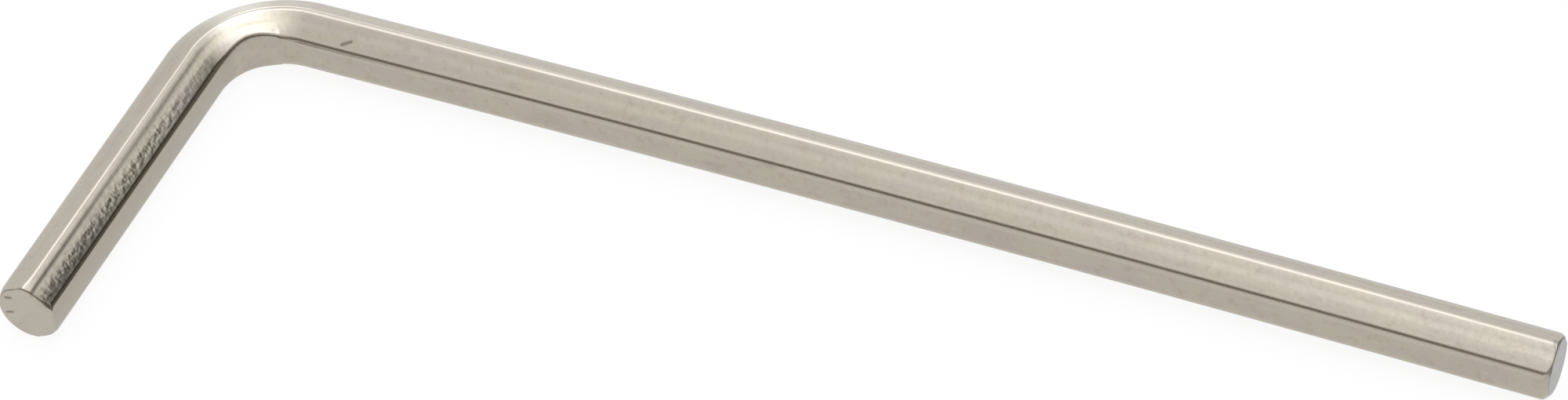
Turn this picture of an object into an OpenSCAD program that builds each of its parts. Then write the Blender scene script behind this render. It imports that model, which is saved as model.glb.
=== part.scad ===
// Hex key: one length of hexagonal wire, bent once and plated.
// The long arm runs along +X and the short arm along -Y from the bend, with two of the section's
// corners pointing up and down, so that a flat is innermost and a flat outermost in the bend.
// The origin is under the middle of the key's box, on the surface that it lies on.

/* [Wire] */
// Width of the hexagon across its flats, which is the size of screw socket it fits
across_flats = 2.5; // [1.5:0.5:8]
// Radius along the six long edges of the drawn wire
edge_r = 0.36; // [0.05:0.01:0.4]

/* [Arms] */
// Overall length of the long arm, from the outside flat of the short arm to the tip
long_arm = 59; // [40:1:120]
// Overall length of the short arm, from the outside flat of the long arm to the tip
short_arm = 19.8; // [16:0.2:60]
// Radius of the bend, measured on the inside flat
bend_inner_r = 2.6; // [1.5:0.1:6]

/* [Swelling inside the bend] */
// How far the inside edges of the bend are squeezed up and down past the wire's own edges
swell_rise = 0.24; // [0.04:0.02:0.3]
// How much larger the radius of the swelling's arc is than that of the bend
swell_flatter = 3.4; // [2:0.2:6]
// Where along the bend the swelling is highest, measured from the short arm
swell_mid_deg = 40; // [34:1:46]
// Where the swelling ends in a small step before the long arm, measured from the short arm
swell_end_deg = 70; // [64:1:76]

/* [Tips] */
// Diameter of the chamfer's cone at the end face: where it is wider than the flats, it only cuts corners
tip_face_d = 2.55; // [1.4:0.05:8]
// Slope of the chamfer, measured from the end face
tip_chamfer_deg = 45; // [20:5:60]

/* [Hidden] */
$fn = 96;

half_flats = across_flats / 2;
// how far each rounded edge stands past the flats beside it, so that the two outlines cross
edge_lap = 0.001;
// distance from the wire's axis to a sharp corner, to the centre of its rounding and to the rounded edge
sharp_corner = half_flats / cos(30);
edge_at = sharp_corner - edge_r / cos(30);
round_corner = edge_at + edge_r + edge_lap;
// radius of the bend, measured on the wire's axis
bend_r = bend_inner_r + half_flats;
// how far the swelling stands out of the inside flat at its highest
swell_proud = 0.03;
// how deep the swelling's ends run into the wire past the depth at which they disappear
swell_root = 0.1;
// where the swelling's sloping face meets the wire's own, measured from the ridge to the inside flat
swell_reach = half_flats / 3;
// straight length of each arm, from the end of the bend to the tip
long_straight = long_arm - half_flats - bend_r;
short_straight = short_arm - half_flats - bend_r;

// the wire's section: x points out of the bend, y points up
module section() {
    // half the length of a flat between its two rounded edges
    half_flat = edge_at / 2;
    polygon([for (side = [0:5], end = [-1, 1])
        let (a = side * 60, t = end * half_flat)
        [half_flats * cos(a) - t * sin(a), half_flats * sin(a) + t * cos(a)]]);
    for (side = [0:5])
        rotate(side * 60 + 30) translate([edge_at, 0]) circle(r = edge_r + edge_lap);
}

// what a conical chamfer leaves of a bar of this length that starts at z = 0
module chamfered_bar(bar_l) {
    blank_r = sharp_corner + 1;
    chamfer_h = (blank_r - tip_face_d / 2) * tan(tip_chamfer_deg);
    rotate_extrude()
        polygon([[0, 0], [blank_r, 0], [blank_r, bar_l - chamfer_h], [tip_face_d / 2, bar_l], [0, bar_l]]);
}

// a straight arm along +Z from the end of the bend to its chamfered tip
module arm(straight) {
    intersection() {
        linear_extrude(straight) section();
        chamfered_bar(straight);
    }
}

module bend() {
    rotate([0, 0, 90]) rotate_extrude(angle = 90)
        translate([bend_r, 0]) section();
}

// the upper half of the swelling's section: a face less steep than the wire's own, which ends in a
// rounded edge over the inside flat
module swollen_edge() {
    wall_x = -half_flats - swell_proud;
    crest_y = sharp_corner / 2 + swell_rise;
    foot = [-swell_reach, sharp_corner - swell_reach * tan(30) - edge_lap];
    slope = atan2(foot[1] - crest_y, foot[0] - wall_x);
    round_at = [wall_x + edge_r, crest_y + edge_r * tan(slope) - edge_r / cos(slope)];
    round_end = round_at + edge_r * [-sin(slope), cos(slope)];
    polygon([[wall_x, 0], [wall_x, round_at[1]], round_end, foot, [foot[0], 0]]);
    translate(round_at) circle(r = edge_r + edge_lap);
}

// the metal squeezed out on the inside of the bend: it follows a flatter arc than the bend does, so
// it comes out of the wire beside the short arm and stops short before the long one
module swelling() {
    swell_r = bend_inner_r + swell_flatter;
    // how deep in the wire the swollen edge has sunk out of sight, and how far along its arc that is
    sunk_r = bend_inner_r + swell_rise / tan(30) + swell_root;
    sunk_deg = acos((swell_r * swell_r + swell_flatter * swell_flatter - sunk_r * sunk_r)
        / (2 * swell_r * swell_flatter));
    mid_at = 180 - swell_mid_deg;
    end_at = 180 - swell_end_deg;
    arc_centre = -swell_flatter * [cos(mid_at), sin(mid_at)];
    // the direction of the end, seen from the arc's own centre
    end_point = bend_inner_r * [cos(end_at), sin(end_at)] - arc_centre;
    from_deg = atan2(end_point[1], end_point[0]);
    translate(arc_centre) rotate(from_deg) rotate_extrude(angle = mid_at + sunk_deg - from_deg)
        translate([swell_r + half_flats, 0]) {
            swollen_edge();
            mirror([0, 1]) swollen_edge();
        }
}

module key() {
    color([0.69, 0.66, 0.62])
    translate([bend_r + half_flats - long_arm / 2, short_arm / 2 - half_flats - bend_r, round_corner]) {
        bend();
        swelling();
        translate([0, bend_r, 0]) rotate([0, 90, 0]) rotate([0, 0, 90]) arm(long_straight);
        translate([-bend_r, 0, 0]) rotate([90, 0, 0]) mirror([1, 0, 0]) arm(short_straight);
    }
}

key();
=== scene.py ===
# %% [markdown]
# A small hex key, made the way a key is made: a straight length of hexagonal wire is drawn, its
# ends are chamfered, it is bent once round a former, and it is plated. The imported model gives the
# key's place and its overall size. Everything here is in metres in that same frame, so the wire
# is worked on while it is straight, where every mark is easy to place, and then bent into place.

import math

import bmesh
import bpy
from mathutils import Matrix, Vector, noise


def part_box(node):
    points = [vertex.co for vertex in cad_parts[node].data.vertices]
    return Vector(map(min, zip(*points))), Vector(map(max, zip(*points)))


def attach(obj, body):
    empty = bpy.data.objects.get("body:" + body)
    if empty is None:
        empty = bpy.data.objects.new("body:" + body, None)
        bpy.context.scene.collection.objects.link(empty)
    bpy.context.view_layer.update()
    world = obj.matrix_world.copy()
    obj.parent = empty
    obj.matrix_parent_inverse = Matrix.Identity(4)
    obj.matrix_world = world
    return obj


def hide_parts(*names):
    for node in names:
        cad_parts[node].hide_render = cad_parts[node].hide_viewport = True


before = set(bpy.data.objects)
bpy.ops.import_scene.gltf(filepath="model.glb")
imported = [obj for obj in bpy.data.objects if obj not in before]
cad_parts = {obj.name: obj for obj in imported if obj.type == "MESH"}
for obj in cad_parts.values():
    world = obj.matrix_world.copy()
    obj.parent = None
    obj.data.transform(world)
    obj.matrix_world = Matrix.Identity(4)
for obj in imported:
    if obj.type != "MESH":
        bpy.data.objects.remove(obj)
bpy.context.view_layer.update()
low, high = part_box("key")
print("the key's box:", [round(v * 1000, 2) for v in (*low, *high)], "mm")

# %% [markdown]
# The wire's section and the bend are sizes that the box can't give, so they are repeated from
# the part's source. The lengths do come from the box: each arm's overall length is one side of it.
# The axis of the wire runs along the short arm, through a quarter turn and along the long arm, and
# one number, the distance travelled along it, is enough to say where on the key something is.

# %% The key's sizes
MM = 0.001
ACROSS_FLATS = 2.5 * MM
EDGE_R = 0.36 * MM
BEND_INNER_R = 2.6 * MM

COS_30 = math.cos(math.radians(30))
TAN_30 = math.tan(math.radians(30))

half = ACROSS_FLATS / 2
sharp_corner = half / COS_30
axis_r = BEND_INNER_R + half
axis_z = low.z + (sharp_corner - EDGE_R / COS_30 + EDGE_R)
short_run = (high.y - low.y) - half - axis_r
long_run = (high.x - low.x) - half - axis_r
bend_run = axis_r * math.pi / 2
bend_end = short_run + bend_run
wire_length = bend_end + long_run
print(f"straight wire: {wire_length / MM:.1f} mm")
print(f"bend: from {short_run / MM:.1f} to {bend_end / MM:.1f} mm along it")

# %% [markdown]
# The section is a hexagon with rounded edges. A circle of six segments is the hexagon, and a
# bevel of its corners rounds them: on a flat outline, bevel works on the vertices. The flats are
# then cut finely enough to carry the faint crown and the shallow dishes that a die leaves on them.

# %% The wire's section
EDGE_SEGMENTS = 8
FLAT_CUTS = 23


def section_ring(wire):
    """A rounded hexagon round the X axis at the short tip, with corners up and down."""
    upright = Matrix(((0, 0, 1, 0), (1, 0, 0, 0), (0, 1, 0, 0), (0, 0, 0, 1)))
    bmesh.ops.create_circle(wire, cap_ends=True, segments=6, radius=sharp_corner, matrix=upright)
    bmesh.ops.bevel(
        wire, geom=wire.verts[:], offset=EDGE_R * TAN_30, offset_type="OFFSET",
        segments=EDGE_SEGMENTS, profile=0.5, affect="VERTICES", material=-1,
    )
    bmesh.ops.delete(wire, geom=wire.faces[:], context="FACES_ONLY")
    flats = [e for e in wire.edges if e.calc_length() > EDGE_R]
    bmesh.ops.subdivide_edges(wire, edges=flats, cuts=FLAT_CUTS)
    return wire.edges[:]


wire = bmesh.new()
first_ring = section_ring(wire)
top = max(v.co.z for v in wire.verts)
print("section:", len(first_ring), "edges, height", round(top / MM, 4), "mm")

# %% [markdown]
# A drawn flat is never quite flat: it crowns a little, and beside the upper and the lower corner
# the worn die leaves a shallow dish. Both are far smaller than a hair, but polished metal shows
# them, because a reflection moves twice as far as the surface turns.

# %% Crown and dishes
CROWN = 0.022 * MM
DISH_DEPTH = 0.013 * MM
DISH_WIDTH = 0.17 * MM
DISH_AT = 0.19 * MM  # from the middle of the flat
flat_half = half * TAN_30 - EDGE_R * TAN_30
sloping_flat_middle = half * math.sin(math.radians(60))  # how high it lies over the axis


def flat_at(u, w):
    """The outward direction of the flat that a point of the section lies on, and how far along it."""
    k = round(math.degrees(math.atan2(w, u)) / 60)
    a = math.radians(60 * k)
    return (math.cos(a), math.sin(a)), -u * math.sin(a) + w * math.cos(a)


for v in wire.verts:
    (nu, nw), t = flat_at(v.co.y, v.co.z)
    if abs(t) < flat_half:
        lift = CROWN * (1 - (t / flat_half) ** 2)
        if abs(v.co.z) > sloping_flat_middle:
            lift -= DISH_DEPTH * math.exp(-(((abs(t) - DISH_AT) / DISH_WIDTH) ** 2))
        v.co.y += nu * lift
        v.co.z += nw * lift
print("flat:", round(2 * flat_half / MM, 3), "mm between its rounded edges")

# %% [markdown]
# The die gives the wire one section from end to end, so its skin is that section pushed along a
# straight line. It is extruded run by run, and each run is then cut across: rings lie close
# together where there is detail (tips, bend, marks) and far apart where the wire is plain. The
# plain run of each arm takes up what the closely cut ones leave of it.

# %% Draw the wire out
# how long each run is, and into how many steps it is cut
AT_SHORT_TIP = [(0.1 * MM, 12), (0.6 * MM, 20), (3.3 * MM, 18), (1.2 * MM, 24)]
BEFORE_BEND = [(2.0 * MM, 14)]
AFTER_BEND = [(1.4 * MM, 14), (0.8 * MM, 32)]
AT_LONG_TIP = [(0.6 * MM, 20), (0.1 * MM, 12)]
PLAIN_SHORT_STEPS, BEND_STEPS, PLAIN_LONG_STEPS = 20, 110, 130


def plain_run(arm, close_runs, steps):
    """What the closely cut runs leave of an arm, and into how many steps it is cut."""
    return arm - sum(length for length, _ in close_runs), steps


RUNS = [
    *AT_SHORT_TIP,
    plain_run(short_run, AT_SHORT_TIP + BEFORE_BEND, PLAIN_SHORT_STEPS),
    *BEFORE_BEND,
    (bend_run, BEND_STEPS),
    *AFTER_BEND,
    plain_run(long_run, AFTER_BEND + AT_LONG_TIP, PLAIN_LONG_STEPS),
    *AT_LONG_TIP,
]


def draw_out(wire, ring):
    for length, steps in RUNS:
        out = bmesh.ops.extrude_edge_only(wire, edges=ring)["geom"]
        verts = [g for g in out if isinstance(g, bmesh.types.BMVert)]
        ring = [g for g in out if isinstance(g, bmesh.types.BMEdge)]
        bmesh.ops.translate(wire, vec=(length, 0, 0), verts=verts)
        lengthwise = {e for v in verts for e in v.link_edges} - set(ring)
        bmesh.ops.subdivide_edges(wire, edges=list(lengthwise), cuts=steps - 1)
    return ring


last_ring = draw_out(wire, first_ring)
print("drawn out to", round(max(v.co.x for v in wire.verts) / MM, 3), "mm,", len(wire.faces), "faces")

# %% [markdown]
# From here on a point of the wire is spoken of by three numbers: how far along it lies, how far
# out of the bend, and how far up. A helper steps smoothly from 0 to 1, and another makes a smooth
# bump, and together they say where along the wire something happens and how it fades. A third
# gives a point's place in millimetres.

# %% Helpers for shaping


def ease(x, start, end):
    """0 before start, 1 after end, and smooth between them."""
    t = min(1, max(0, (x - start) / (end - start)))
    return t * t * (3 - 2 * t)


def bump(x, middle, reach):
    """1 at the middle, falling smoothly to 0 at this reach on each side."""
    return 1 - ease(abs(x - middle), 0, reach)


def along(s, u, w):
    """A point of the straight wire in millimetres, for noise that has a size of its own."""
    return Vector((s, u, w)) / MM


print("a quarter, half and three quarters of the way:", [ease(t, 0, 1) for t in (0.25, 0.5, 0.75)])

# %% [markdown]
# A tip is sheared off and its corners are then ground back, a little more on one side than on the
# other, and tumbling rounds what is left. A cone does the grinding: near the end, no point may be
# further from the cone's axis than the cone is wide there, so the hexagon's corners are cut and
# its flats hardly are. Here and there the tip also met the stone flat on, which left small facets:
# a long slanting one beside the short tip's ridge, and short ones on other corners and on the short
# tip's upper inside flat. The rim of each end face is rounded by a quarter circle.

# %% Chamfer the tips
TIP_DEPTH = 1.0 * MM
CUT_SOFT = 0.03 * MM
RIM_R = 0.05 * MM
# the cone's radius at the end face, how much it widens per millimetre, and where its axis lies, and
# for each facet the way it faces in degrees, how far out it lies at the end face, and its slope
SHORT_TIP = {
    "face_r": 1.31 * MM, "widens": 0.3, "off_u": -0.06 * MM, "off_w": 0.03 * MM,
    "facets": [(104, 1.31 * MM, 0.08), (210, 1.27 * MM, 0.6), (128, 1.215 * MM, 0.8)],
}
LONG_TIP = {
    "face_r": 1.19 * MM, "widens": 1.2, "off_u": 0.05 * MM, "off_w": 0.10 * MM,
    "facets": [(30, 1.18 * MM, 0.8), (165, 1.22 * MM, 0.45)],
}


def taken_off(over):
    """How much of what stands over is cut: the turn from uncut to cut is CUT_SOFT wide each way."""
    return over if over > CUT_SOFT else max(0, over + CUT_SOFT) ** 2 / (4 * CUT_SOFT)


def chamfered(depth, u, w, tip):
    """Where the facets, the cone and the rim's rounding leave a point this deep behind the end."""
    for faces_deg, out_at_face, slope in tip["facets"]:
        n_u, n_w = math.cos(math.radians(faces_deg)), math.sin(math.radians(faces_deg))
        cut = taken_off(u * n_u + w * n_w - out_at_face - depth * slope)
        u, w = u - n_u * cut, w - n_w * cut
    du, dw = u - tip["off_u"], w - tip["off_w"]
    r = math.hypot(du, dw)
    cut = taken_off(r - tip["face_r"] - depth * tip["widens"])
    if depth < RIM_R:
        cut += RIM_R - math.sqrt(RIM_R**2 - (RIM_R - depth) ** 2)
    keep = (r - cut) / r
    return tip["off_u"] + du * keep, tip["off_w"] + dw * keep


def shape_tips(wire):
    for v in wire.verts:
        s, u, w = v.co
        for tip, depth in ((SHORT_TIP, s), (LONG_TIP, wire_length - s)):
            if depth < TIP_DEPTH:
                u, w = chamfered(max(0, depth), u, w, tip)
        v.co = (s, u, w)


shape_tips(wire)
cones = [round(2 * tip["face_r"] / MM, 2) for tip in (SHORT_TIP, LONG_TIP)]
print("tips: chamfer cones", cones, "mm across at the end face")

# %% [markdown]
# The ends are closed the way a flat face is modelled by hand: the last ring is extruded in place
# and scaled towards its middle, again and again, and what is left is filled and poked into a fan.
# The rings lie evenly, so that the face can carry the small marks of the shear.

# %% Close the ends
END_RINGS = 22


def close_end(wire, edges):
    for rings_left in range(END_RINGS, 1, -1):
        out = bmesh.ops.extrude_edge_only(wire, edges=edges)["geom"]
        verts = [g for g in out if isinstance(g, bmesh.types.BMVert)]
        edges = [g for g in out if isinstance(g, bmesh.types.BMEdge)]
        middle = sum((v.co for v in verts), Vector()) / len(verts)
        smaller = (rings_left - 1) / rings_left
        bmesh.ops.scale(wire, vec=(smaller,) * 3, space=Matrix.Translation(-middle), verts=verts)
    face = bmesh.ops.contextual_create(wire, geom=edges)["faces"]
    bmesh.ops.poke(wire, faces=face)


close_end(wire, first_ring)
close_end(wire, last_ring)
open_edges = [e for e in wire.edges if not e.is_manifold]
print("ends closed,", len(open_edges), "open edges left")

# %% [markdown]
# Where the wire goes round the former, the metal on the inside has nowhere to go: the inside flat
# sinks, its two edges swell up and down, and the ridges rise a little with them. The swelling
# grows and fades smoothly and is most in the middle of the bend. A burr along its edges grows with
# it, but ends in a small step, where the former let go of it.

# %% The swelling inside the bend
SWELL_MID = 43  # degrees round the bend
SWELL_REACH_BEFORE, SWELL_REACH_AFTER = 22, 24
SWELL_LEAST = 0.002  # a share of the swelling that is too small to matter
BURR_GROWS = (38, 62)
BURR_ENDS = (65.5, 67.5)
SINK = 0.24 * MM
RISE = 0.20 * MM
BURR = 0.05 * MM
RIDGE_RISE = 0.01 * MM
# degrees round the section from the outside flat: where the sinking starts and where it is whole,
# and for what rises, its middle and its reach
SINK_ROUND = (95, 150)
RISE_ROUND = (152, 62)
BURR_ROUND = (154, 24)
RIDGE_ROUND = (92, 40)


def swollen(s, u, w):
    turned = math.degrees((s - short_run) / axis_r)
    reach = SWELL_REACH_BEFORE if turned < SWELL_MID else SWELL_REACH_AFTER
    size = math.exp(-(((turned - SWELL_MID) / reach) ** 2))
    if size < SWELL_LEAST:
        return u, w
    round_deg = abs(math.degrees(math.atan2(w, u)))
    burr = ease(turned, *BURR_GROWS) * (1 - ease(turned, *BURR_ENDS))
    lift = RISE * size * bump(round_deg, *RISE_ROUND)
    lift += RIDGE_RISE * size * bump(round_deg, *RIDGE_ROUND)
    lift += BURR * burr * bump(round_deg, *BURR_ROUND)
    upwards = math.copysign(ease(abs(w), 0, sharp_corner / 2), w)
    return u + SINK * size * ease(round_deg, *SINK_ROUND), w + upwards * lift


for v in wire.verts:
    s, u, w = v.co
    u, w = swollen(s, u, w)
    v.co = (s, u, w)
print("swelling: edges", (RISE + BURR) / MM, "mm up and down, inside flat", SINK / MM, "mm in")

# %% [markdown]
# Each mark is a stroke between two points of the straight wire: a shallow dent with dirt in it, or
# a stain or a spot of rust, which has no depth. The jaw that held the short arm while it was bent
# has pressed its upper inside flat down a little along the lower edge, and a slow noise lets all
# the flats wander by a few thousandths of a millimetre, which keeps a long reflection from looking
# ruled. The plate is thin and browned on the sheared rims. How much dirt, rust or brown each point
# has is kept as an attribute for the finish.

# %% Marks and wander
# from, to (each as millimetres along, outwards and up), reach and depth in millimetres, dirt
STROKES = [
    (Vector((22.42, -0.976, 0.887)), Vector((22.78, -0.797, 1.012)), 0.12, 0.015, 0.8),  # a nick
    (Vector((0, 0.87, 0.58)), Vector((0, 0.66, 0.65)), 0.11, 0.01, 0.7),  # two drag marks of the shear
    (Vector((0, 0.93, -0.25)), Vector((0, 0.66, -0.16)), 0.09, 0.01, 0.7),
    (Vector((74.46, 0.05, 1.36)), Vector((74.54, -0.15, 1.26)), 0.17, 0, 0.55),  # rust at the long tip
    (Vector((74.50, -1.1, 0.74)), Vector((74.54, -1.0, 0.78)), 0.12, 0, 0.6),
    (Vector((39.0, -1.27, -0.14)), Vector((39.3, -1.27, -0.10)), 0.25, 0, 0.12),  # two stains inside
    (Vector((41.5, -1.27, 0.60)), Vector((42.0, -1.27, 0.62)), 0.22, 0, 0.18),
]
STROKE_SPAN = 1.0  # no stroke reaches further along the wire than this, in millimetres
PRESS = 0.05 * MM  # of which the wire's inside edge takes 0.6
PRESS_FADES = (2 * MM, 18 * MM)  # along the short arm
PRESS_GROWS = (0.65 * MM, 1.7 * MM)  # inwards from the axis
FACE_SKIN = 0.001 * MM  # what is less far behind the end is the end face itself
RIM_DEPTH = 0.11 * MM
RIM_PATCHES = 1.6  # per millimetre
WANDER = 0.004 * MM
SKIN_FROM = 0.85 * half  # nearer to the axis lie the end faces and the sunk flat, which don't wander


def pressed_by_jaw(s, u, w):
    """How far down the jaw has pressed this point of the short arm."""
    if w < 0:
        return 0
    return PRESS * (1 - ease(s, *PRESS_FADES)) * ease(-u, *PRESS_GROWS)


def stroke_at(place, start, end, reach):
    """How strong a stroke is at this place: 1 along its middle, 0 beyond its reach."""
    if abs(place.x - start.x) > STROKE_SPAN:
        return 0
    line = end - start
    part = min(1, max(0, (place - start).dot(line) / line.length_squared))
    return bump((place - start - line * part).length, 0, reach)


def rim_at(s, w, place):
    """How browned the upper rim of an end face is: only just behind the face, in patches."""
    depth = min(s, wire_length - s)
    if not FACE_SKIN < depth < RIM_DEPTH:
        return 0
    patches = max(0, 0.6 + 0.8 * noise.noise(place * RIM_PATCHES))
    behind_face = 1 - ease(depth, 0.4 * RIM_DEPTH, RIM_DEPTH)
    return patches * behind_face * ease(w, 0.4 * half, 0.6 * half)


def wander_at(s, u, w):
    """A slow noise over the skin, with a weaker and finer one on top of it."""
    slow = noise.noise(along(s * 0.35, u * 1.1, w * 1.1))
    finer = noise.noise(along(s * 1.2, u * 2, w * 2))
    return slow + 0.4 * finer


dirt = wire.verts.layers.float.new("dirt")
for v in wire.verts:
    s, u, w = v.co
    place = along(s, u, w)
    v.co.z -= pressed_by_jaw(s, u, w)
    v[dirt] = rim_at(s, w, place)
    for start, end, reach, depth, grime in STROKES:
        strength = stroke_at(place, start, end, reach)
        if strength > 0:
            v[dirt] = max(v[dirt], grime * strength)
            into_metal = Vector((1, 0, 0)) if start.x == 0 else -Vector((0, u, w)).normalized()
            v.co += into_metal * depth * MM * strength
    if math.hypot(u, w) > SKIN_FROM:
        v.co.yz += v.co.yz.normalized() * WANDER * wander_at(s, u, w)
print("marks:", len(STROKES), "strokes,", sum(v[dirt] > 0.1 for v in wire.verts), "points with dirt")

# %% [markdown]
# Now the bend itself. Each point keeps its place in the section, and the section follows the
# axis: straight up the short arm, round a quarter turn, and along the long arm. The straight place
# of each point is kept as an attribute, so that the finish can follow the wire round the bend as
# the real grain does. The long arm of a cheap key is never quite straight either, so it bows a
# little. Recalculated normals agree with one another, but on a thing this small they can agree on
# the wrong side, and then the volume that they enclose comes out negative.

# %% Bend the wire
LONG_BOW = 0.2 * MM
short_axis_x = low.x + half
bend_centre = Vector((short_axis_x + axis_r, low.y + short_run, axis_z))


def bent(s, u, w):
    if s < short_run:
        return Vector((short_axis_x - u, low.y + s, axis_z + w))
    if s < bend_end:
        theta = (s - short_run) / axis_r
        outward = Vector((-math.cos(theta), math.sin(theta), 0))
        return bend_centre + outward * (axis_r + u) + Vector((0, 0, w))
    run = s - bend_end
    part = run / long_run
    bow = LONG_BOW * 4 * part * (1 - part)
    return Vector((bend_centre.x + run, bend_centre.y + axis_r + u + bow, axis_z + w))


straight = wire.verts.layers.float_vector.new("wire")
for v in wire.verts:
    v[straight] = v.co
    v.co = bent(*v.co)
bmesh.ops.recalc_face_normals(wire, faces=wire.faces[:])
if wire.calc_volume(signed=True) < 0:
    bmesh.ops.reverse_faces(wire, faces=wire.faces[:])
print("the faces enclose", round(wire.calc_volume(signed=True) / MM**3, 1), "mm3")
key_mesh = bpy.data.meshes.new("hex_key")
wire.to_mesh(key_mesh)
wire.free()
key_mesh.polygons.foreach_set("use_smooth", [True] * len(key_mesh.polygons))
hex_key = bpy.data.objects.new("hex_key", key_mesh)
bpy.context.scene.collection.objects.link(hex_key)
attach(hex_key, "root")
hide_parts("key")
print("hex_key:", len(key_mesh.vertices), "vertices,", len(key_mesh.polygons), "faces")

# %% [markdown]
# A finish is a small sum of patterns, and sums read best as sums. This class holds one output of
# a node and turns +, -, * and ** into Math nodes, so that 1 - mask in Python is 1 - mask in the
# shader. Any other node is made by one method, which sets the node up first and then its inputs.

# %% Shader maths as expressions


class Tone:
    """A value that varies over the surface."""

    def __init__(self, finish, socket):
        self.finish = finish
        self.socket = socket

    def maths(self, operation, a, b):
        return self.finish.node("ShaderNodeMath", {"operation": operation}, {0: a, 1: b})

    def __add__(self, other):
        return self.maths("ADD", self, other)

    def __sub__(self, other):
        return self.maths("SUBTRACT", self, other)

    def __rsub__(self, other):
        return self.maths("SUBTRACT", other, self)

    def __mul__(self, other):
        return self.maths("MULTIPLY", self, other)

    def __pow__(self, other):
        return self.maths("POWER", self, other)

    __radd__ = __add__
    __rmul__ = __mul__


class Finish:
    """A material in the making."""

    def __init__(self, name):
        self.material = bpy.data.materials.new(name)
        self.material.use_nodes = True
        self.tree = self.material.node_tree
        self.shader = self.tree.nodes["Principled BSDF"]

    def link(self, value, socket):
        if isinstance(value, Tone):
            self.tree.links.new(value.socket, socket)
        else:
            socket.default_value = value

    def node(self, kind, settings, inputs, output=0):
        made = self.tree.nodes.new(kind)
        for key, value in settings.items():
            setattr(made, key, value)
        for key, value in inputs.items():
            self.link(value, made.inputs[key])
        return Tone(self, made.outputs[output])

    def step(self, value, start, end):
        """0 below start, 1 above end, and smooth between them."""
        inputs = {"Value": value, "From Min": start, "From Max": end}
        return self.node("ShaderNodeMapRange", {"interpolation_type": "SMOOTHSTEP"}, inputs)

    def until(self, value, start, end):
        """1 below start, 0 above end, and smooth between them."""
        return 1 - self.step(value, start, end)

    def noise(self, place, size, detail=2.0, rough=0.5):
        """Noise whose blotches are about this many millimetres across, from 0 to 1."""
        inputs = {"Vector": place, "Scale": 1 / size, "Detail": detail, "Roughness": rough}
        return self.node("ShaderNodeTexNoise", {}, inputs)

    def stretched(self, place, x, y, z):
        return self.node("ShaderNodeVectorMath", {"operation": "MULTIPLY"}, {0: place, 1: (x, y, z)})

    def mix(self, mask, colour_a, colour_b):
        inputs = {0: mask, 6: colour_a, 7: colour_b}
        return self.node("ShaderNodeMix", {"data_type": "RGBA"}, inputs, output=2)

    def part(self, vector, axis):
        return self.node("ShaderNodeSeparateXYZ", {}, {0: vector}, output="XYZ".index(axis))


print("shader helpers ready")

# %% [markdown]
# The bending tool held the short arm in its jaw and left pits, which the plate covers without
# hiding them. With them goes painted shade: a dark band along the lower edge of the upper inside
# flat, and a thin dark line beside the ridge, both standing in for dark reflections. Each is a
# mask, 1 where the look shows and 0 elsewhere. A picture of them would have to be wrapped round
# the bend, but every point knows its place on the straight wire, so smooth steps along the wire
# and across it are enough.

# %% The jaw's pits, and the painted shade beside them
# where a mask starts and stops to change, in millimetres: along the wire, inwards from its axis,
# up from the axis, or away from it
HELD_ALONG = (8, 16.5)
NEAR_TIP_ALONG = (1.5, 9)
JAW_UP = (0.60, 0.72)
PITS_IN = (0.42, 0.85)
PITS_AWAY = (1.29, 1.35)
# where the painted shade lies: a dark band along the lower edge, and a dark line by the ridge
SHADE_BAND_IN = (0.84, 1.0)
TIP_SHADE_BAND_IN = (0.4, 0.9)
DARK_LINE_STARTS_IN = (0.24, 0.33)
DARK_LINE_ENDS_IN = (0.36, 0.46)
DARK_LINE_UP = (0.95, 1.05)


def jaw_pits_and_painted_shade(plate, run, inward, up, away, short_arm, edge):
    """How much painted shade the short arm gets, as a dark band and a dark line, and how pitted it is.
    """
    near_tip = plate.until(run, *NEAR_TIP_ALONG)
    jaw = plate.until(run, *HELD_ALONG) * plate.step(up, *JAW_UP)
    pitted = jaw * plate.step(inward, *PITS_IN) * plate.until(away, *PITS_AWAY)
    # painted shade: a dark band along the lower edge of the upper inside flat, wider near the tip
    painted_shade_band = 0.52 * plate.step(inward, *SHADE_BAND_IN) + 0.36 * near_tip * plate.step(inward, *TIP_SHADE_BAND_IN)
    painted_shade_band = painted_shade_band * jaw * (1 - 0.7 * edge)
    # painted shade: a thin dark line beside the ridge, where a dark reflection runs
    painted_dark_line = plate.step(inward, *DARK_LINE_STARTS_IN) * plate.until(inward, *DARK_LINE_ENDS_IN)
    painted_dark_line = painted_dark_line * short_arm * plate.step(up, *DARK_LINE_UP) * (0.35 + 0.4 * near_tip)
    return painted_shade_band + painted_dark_line, pitted


print("smear from", SHADE_BAND_IN[0], "mm in, score at", DARK_LINE_STARTS_IN[1], "to", DARK_LINE_ENDS_IN[0], "mm in")

# %% [markdown]
# Bright nickel on drawn steel is a warm silver. It isn't a mirror: the plate follows the wire's
# own skin, which is like orange peel and scored lengthwise by the die, so what it reflects is
# broken up, and most so in the pits that the jaw left. Colour changes are slight: clouds that are a
# little more olive or pink, a browner bloom in places, pale specks, a paler look along the edges,
# where keys rub in a drawer, a paler cut at the short tip and a bluer one at the long tip. Painted
# light goes on too: a painted highlight round the outside of the bend, painted shade on the short
# arm's inside flat, and the jaw's painted shade. All go on like washes of paint, one over the
# other, each through its own mask.

# %% The nickel plate
OLIVE_NICKEL = (0.458, 0.422, 0.345, 1)
PINK_NICKEL = (0.446, 0.402, 0.352, 1)
BLOOM = (0.40, 0.335, 0.27, 1)
PALE = (0.56, 0.53, 0.47, 1)
RUBBED = (0.50, 0.46, 0.395, 1)
# painted highlight: paler metal round the outside of the bend
BEND_HIGHLIGHT_PAINT = (0.68, 0.65, 0.58, 1)
# painted shade on the short arm's inside flat
INSIDE_SHADE_PAINT = (0.380, 0.345, 0.290, 1)
CUT_GREY = (0.30, 0.30, 0.29, 1)
DIRT_BROWN = (0.12, 0.078, 0.05, 1)
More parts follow.
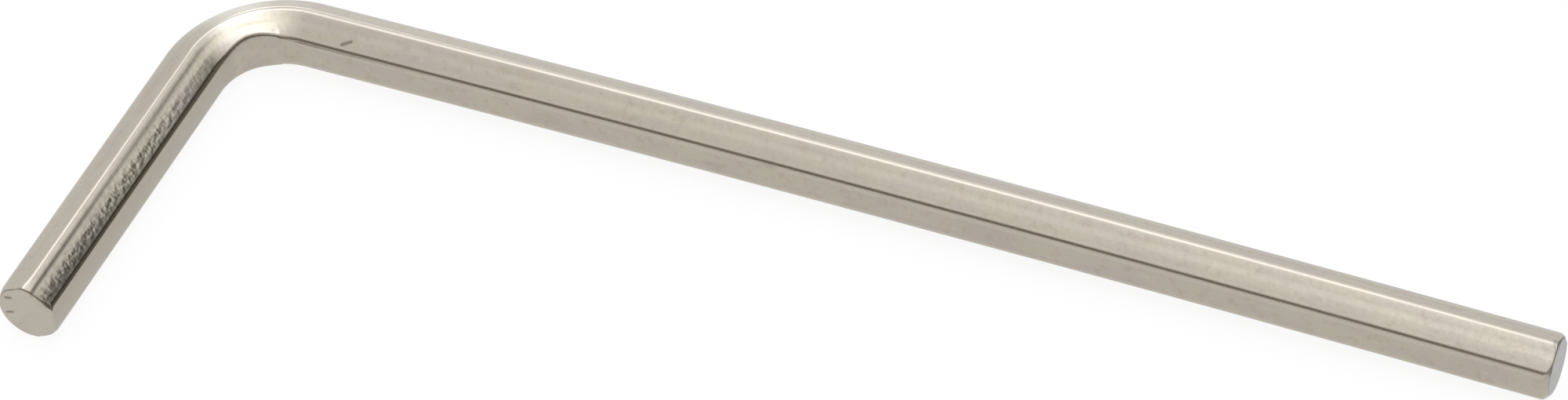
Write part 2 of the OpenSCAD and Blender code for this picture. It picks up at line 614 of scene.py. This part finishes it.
# painted shade for the jaw's dark band and the dark line beside the ridge
PAINTED_SHADE_GREY = (0.095, 0.088, 0.072, 1)
# in millimetres, as for the jaw's pits and its painted shade
SHORT_ARM_ALONG = (13.5, 18)
EDGE_AWAY = (1.32, 1.375)
# where the painted shade on the short arm's inside flat lies
INSIDE_SHADE_IN = (1.13, 1.2)
INSIDE_SHADE_ALONG = (15, 18.5)
# where the painted highlight round the outside of the bend lies
BEND_HIGHLIGHT_OUT = (-0.35, 0)
BEND_HIGHLIGHT_STARTS_ALONG = (15.6, 17.3)
BEND_HIGHLIGHT_ENDS_ALONG = (17.8, 19.3)
CUT_NEAR, CUT_FAR = 0.01, 0.05  # behind the end face
BUMP_DEPTH = 0.04 * MM


def nickel_plate():
    plate = Finish("nickel_plate")
    place = plate.node("ShaderNodeAttribute", {"attribute_name": "wire"}, {}, output="Vector")
    place = plate.stretched(place, 1 / MM, 1 / MM, 1 / MM)
    dirt = plate.node("ShaderNodeAttribute", {"attribute_name": "dirt"}, {}, output="Fac")
    run, outward, up = (plate.part(place, axis) for axis in "XYZ")
    inward = 0 - outward
    away = (outward * outward + up * up) ** 0.5

    short_arm = plate.until(run, *SHORT_ARM_ALONG)
    edge = plate.step(away, *EDGE_AWAY)
    # the jaw's painted shade, and the pits that deepen the relief
    painted_jaw_shade, pitted = jaw_pits_and_painted_shade(plate, run, inward, up, away, short_arm, edge)
    # painted shade on the short arm's inside flat
    painted_inside_shade = plate.step(inward, *INSIDE_SHADE_IN) * plate.until(run, *INSIDE_SHADE_ALONG)
    # painted highlight round the outside of the bend
    painted_bend_highlight = plate.step(outward, *BEND_HIGHLIGHT_OUT) * plate.step(run, *BEND_HIGHLIGHT_STARTS_ALONG)
    painted_bend_highlight = painted_bend_highlight * plate.until(run, *BEND_HIGHLIGHT_ENDS_ALONG)
    short_cut = plate.until(run, CUT_NEAR, CUT_FAR)
    long_cut = plate.step(run, wire_length / MM - CUT_FAR, wire_length / MM - CUT_NEAR)

    lengthwise = plate.stretched(place, 0.3, 1, 1)
    peel = plate.noise(place, 0.26, detail=1.0, rough=0.45)
    grain = plate.noise(plate.stretched(place, 0.03, 1, 1), 0.1, detail=2)
    cloud = plate.noise(lengthwise, 0.8, detail=3)
    mottle = plate.noise(place, 0.35, detail=2.5, rough=0.6)
    bloom = plate.noise(lengthwise, 1.1, detail=3, rough=0.6)
    specks = plate.noise(place, 0.3, detail=1)
    washes = [
        (plate.step(mottle, 0.5, 0.75) * 0.65, BLOOM),
        (plate.step(bloom, 0.56, 0.74) * 0.4, BLOOM),
        (plate.step(specks, 0.68, 0.80) * 0.35, PALE),
        (edge * 0.6, RUBBED),
        # painted highlight round the outside of the bend
        (painted_bend_highlight * 0.8, BEND_HIGHLIGHT_PAINT),
        # painted shade on the short arm's inside flat
        (painted_inside_shade * 0.8, INSIDE_SHADE_PAINT),
        # painted shade along the short arm's lower edge and beside its ridge
        (painted_jaw_shade, PAINTED_SHADE_GREY),
        (short_cut * 0.6, RUBBED),
        (long_cut, CUT_GREY),
        (dirt * 0.85, DIRT_BROWN),
    ]
    colour = plate.mix(plate.step(cloud, 0.4, 0.6), OLIVE_NICKEL, PINK_NICKEL)
    for mask, wash in washes:
        colour = plate.mix(mask, colour, wash)
    plate.link(colour, plate.shader.inputs["Base Color"])
    rough = 0.24 + 0.08 * cloud + 0.04 * peel - (0.05 + 0.08 * short_arm) * edge + 0.2 * dirt
    plate.link(rough, plate.shader.inputs["Roughness"])
    plate.link(1 - 0.7 * dirt, plate.shader.inputs["Metallic"])
    depth = (peel * 0.95 + grain * 0.05) * (0.14 + 0.86 * pitted) * (1 - 0.75 * edge)
    relief = {"Height": depth, "Distance": BUMP_DEPTH, "Strength": 1.0}
    normal = plate.node("ShaderNodeBump", {"invert": True}, relief)
    plate.link(normal, plate.shader.inputs["Normal"])
    return plate.material


plate_material = nickel_plate()
hex_key.data.materials.append(plate_material)
print("finish:", plate_material.name, "with", len(plate_material.node_tree.nodes), "nodes")

# %% [markdown]
# The floor is plain white. Its own paint takes the key's shadow, and a little light of its own,
# seen by the camera and in reflections, lifts the rest of it to the white of the backdrop.

# %% Floor and backdrop
FLOOR_SIZE = 3.0
FLOOR_PAINT = (0.12, 0.12, 0.12, 1)
FLOOR_LIFT = 0.9


def seen(tree):
    """1 for rays from the camera, from glossy surfaces and through glass, and 0 for the rest."""
    paths = tree.nodes.new("ShaderNodeLightPath")
    any_so_far = paths.outputs["Is Camera Ray"]
    for kind in ("Is Glossy Ray", "Is Transmission Ray"):
        either = tree.nodes.new("ShaderNodeMath")
        either.operation = "MAXIMUM"
        tree.links.new(any_so_far, either.inputs[0])
        tree.links.new(paths.outputs[kind], either.inputs[1])
        any_so_far = either.outputs[0]
    return any_so_far


def make_floor():
    ground = bmesh.new()
    bmesh.ops.create_grid(ground, x_segments=1, y_segments=1, size=FLOOR_SIZE / 2)
    mesh = bpy.data.meshes.new("floor")
    ground.to_mesh(mesh)
    ground.free()
    floor = bpy.data.objects.new("floor", mesh)
    bpy.context.scene.collection.objects.link(floor)
    paint = bpy.data.materials.new("floor_paint")
    paint.use_nodes = True
    tree = paint.node_tree
    shader = tree.nodes["Principled BSDF"]
    shader.inputs["Base Color"].default_value = FLOOR_PAINT
    shader.inputs["Roughness"].default_value = 1
    shader.inputs["Specular IOR Level"].default_value = 0
    shader.inputs["Emission Color"].default_value = (1, 1, 1, 1)
    lift = tree.nodes.new("ShaderNodeMath")
    lift.operation = "MULTIPLY"
    lift.inputs[1].default_value = FLOOR_LIFT
    tree.links.new(seen(tree), lift.inputs[0])
    tree.links.new(lift.outputs[0], shader.inputs["Emission Strength"])
    mesh.materials.append(paint)


make_floor()
world = bpy.data.worlds.new("backdrop")
bpy.context.scene.world = world
world.use_nodes = True
AMBIENT = 0.6
backdrop = world.node_tree.nodes["Background"]
backdrop.inputs["Color"].default_value = (1, 1, 1, 1)
brightness = world.node_tree.nodes.new("ShaderNodeMapRange")
brightness.inputs["To Min"].default_value = AMBIENT
brightness.inputs["To Max"].default_value = 1
world.node_tree.links.new(seen(world.node_tree), brightness.inputs["Value"])
world.node_tree.links.new(brightness.outputs[0], backdrop.inputs["Strength"])
print("floor", FLOOR_SIZE, "m wide, backdrop white")

# %% [markdown]
# Metal shows what stands round it, so the lights are placed by what each surface has to show. All
# of them hang level over the key, like softboxes on a ceiling rail, and are set by the rectangle
# they cover and by how much brighter than the backdrop they look. The three behind the key draw
# the white line along its ridge: the long arm, its far end and the short arm each see another one.
# The bend turns past the other three, and because they lie one inside the next, the white in it
# fades instead of stopping at an edge.

# %% Lamps
COOL_WHITE = (0.97, 1.0, 1.06)
# name: left, right, front and back edge and height in metres, and how much brighter it looks
SOFTBOXES = {
    "long_ridge_box": (-0.55, -0.12, 0.14, 0.74, 0.90, 1.25),
    "far_ridge_box": (-0.72, -0.32, 1.05, 1.9, 0.94, 0.6),
    "short_ridge_box": (0.12, 0.54, 0.66, 0.98, 0.95, 0.5),
    "bend_box_outer": (-0.26, 0.66, -0.46, 0.56, 0.91, 0.30),
    "bend_box_middle": (-0.12, 0.57, -0.37, 0.40, 0.92, 0.6),
    "bend_box_inner": (0.06, 0.50, -0.26, 0.24, 0.93, 1.4),
}


def softbox(name, left, right, front, back, height, look):
    """A lamp that hangs level over the key, between these places on the X and Y axes.

    It spreads its energy over pi times its area, so look is how bright each point of it is.
    """
    width, depth = right - left, back - front
    lamp = bpy.data.lights.new(name, "AREA")
    lamp.shape = "RECTANGLE"
    lamp.color = COOL_WHITE
    lamp.size = width
    lamp.size_y = depth
    lamp.energy = look * math.pi * width * depth
    holder = bpy.data.objects.new(name, lamp)
    holder.location = ((left + right) / 2, (front + back) / 2, height)
    bpy.context.scene.collection.objects.link(holder)


for name, place in SOFTBOXES.items():
    softbox(name, *place)

# %% [markdown]
# Half of what makes metal look like metal is dark: the room beyond the lamps. It is a row of dark
# screens round the front and the right, which draw the brown line along the key's inner edge and
# round its tips, and taller ones at the right, which fill the short arm's upper face. The low one
# at the right is the palest, so that the line isn't black there. Behind the key, a bright card
# lights the outside of the bend. Only reflections see any of them. Each is a straight edge spun
# round the key.

# %% Screens
KEY_MIDDLE = Vector((0, 0, axis_z))
SCREEN_R = 0.8
SCREEN_STEPS = 24
BROWN_CLOTH = (0.28, 0.23, 0.18, 1)
DARK_CLOTH = (0.06, 0.052, 0.045, 1)
# name: from and to which azimuth, counted from +X, and elevation, in degrees, and its colour
SCREENS = {
    "left_screen": (-175, -130, 2, 28, (0.30, 0.25, 0.20, 1)),
    "front_screen": (-132, -92, 14, 44, (0.38, 0.31, 0.24, 1)),
    "corner_screen": (-94, -55, 1, 27, BROWN_CLOTH),
    "bend_screen": (-57, 25, 1, 35, BROWN_CLOTH),
    "low_right_screen": (22, 47, 1, 21, (0.42, 0.37, 0.31, 1)),
    "right_screen": (22, 47, 21, 41, DARK_CLOTH),
    "far_right_screen": (46, 74, 1, 42, DARK_CLOTH),
}


def screen(name, from_deg, to_deg, low_deg, high_deg, colour, glow=0):
    """A curved screen that stands between two azimuths, counted from +X, and two elevations."""
    card = bmesh.new()
    bmesh.ops.create_grid(card, x_segments=1, y_segments=1, size=0.5)
    bmesh.ops.delete(card, geom=[v for v in card.verts if v.co.x < 0], context="VERTS")
    for v in card.verts:
        elevation = math.radians(high_deg if v.co.y > 0 else low_deg)
        v.co = KEY_MIDDLE + Vector((SCREEN_R, 0, SCREEN_R * math.tan(elevation)))
    start = Matrix.Rotation(math.radians(from_deg), 3, "Z")
    bmesh.ops.rotate(card, cent=KEY_MIDDLE, matrix=start, verts=card.verts[:])
    bmesh.ops.spin(
        card, geom=card.verts[:] + card.edges[:], cent=KEY_MIDDLE, axis=(0, 0, 1),
        angle=math.radians(to_deg - from_deg), steps=SCREEN_STEPS, use_duplicate=False,
    )
    mesh = bpy.data.meshes.new(name)
    card.to_mesh(mesh)
    card.free()
    holder = bpy.data.objects.new(name, mesh)
    bpy.context.scene.collection.objects.link(holder)
    cloth = bpy.data.materials.new(name)
    cloth.use_nodes = True
    shader = cloth.node_tree.nodes["Principled BSDF"]
    shader.inputs["Base Color"].default_value = colour
    shader.inputs["Roughness"].default_value = 1
    shader.inputs["Emission Color"].default_value = colour
    shader.inputs["Emission Strength"].default_value = glow
    mesh.materials.append(cloth)
    holder.visible_camera = False
    holder.visible_shadow = False
    holder.visible_diffuse = False


for name, place in SCREENS.items():
    screen(name, *place)
screen("back_card", 114, 128, -1, 20, (1, 1, 1, 1), glow=2.0)

# %% [markdown]
# The camera stands where the photographer's did: a long lens, looking down at 45 degrees from the
# front and a little from the right, and rolled a few degrees. Its place is worked out from the
# point it looks at, its distance and those three angles.

# %% Camera
AIM = Vector((-2.36, 6.58, 1.389)) * MM
DISTANCE = 227.95 * MM
AZIMUTH, ELEVATION, ROLL = 24.955, 45.13, -3.159
LENS, SENSOR = 129.465, 36.0

azimuth, elevation = math.radians(AZIMUTH), math.radians(ELEVATION)
towards_camera = Vector((
    math.sin(azimuth) * math.cos(elevation),
    -math.cos(azimuth) * math.cos(elevation),
    math.sin(elevation),
))
camera_data = bpy.data.cameras.new("camera")
camera_data.lens = LENS
camera_data.sensor_width = SENSOR
camera_data.clip_start = 0.01
camera = bpy.data.objects.new("camera", camera_data)
bpy.context.scene.collection.objects.link(camera)
camera.location = AIM + towards_camera * DISTANCE
upright = towards_camera.to_track_quat("Z", "Y").to_matrix().to_4x4()
camera.rotation_euler = (upright @ Matrix.Rotation(math.radians(ROLL), 4, "Z")).to_euler()
bpy.context.scene.camera = camera
bpy.context.scene.view_settings.view_transform = "Standard"
print("camera at", [round(c / MM, 1) for c in camera.location], "mm")

# %% Bring the scene up to date
bpy.context.view_layer.update()
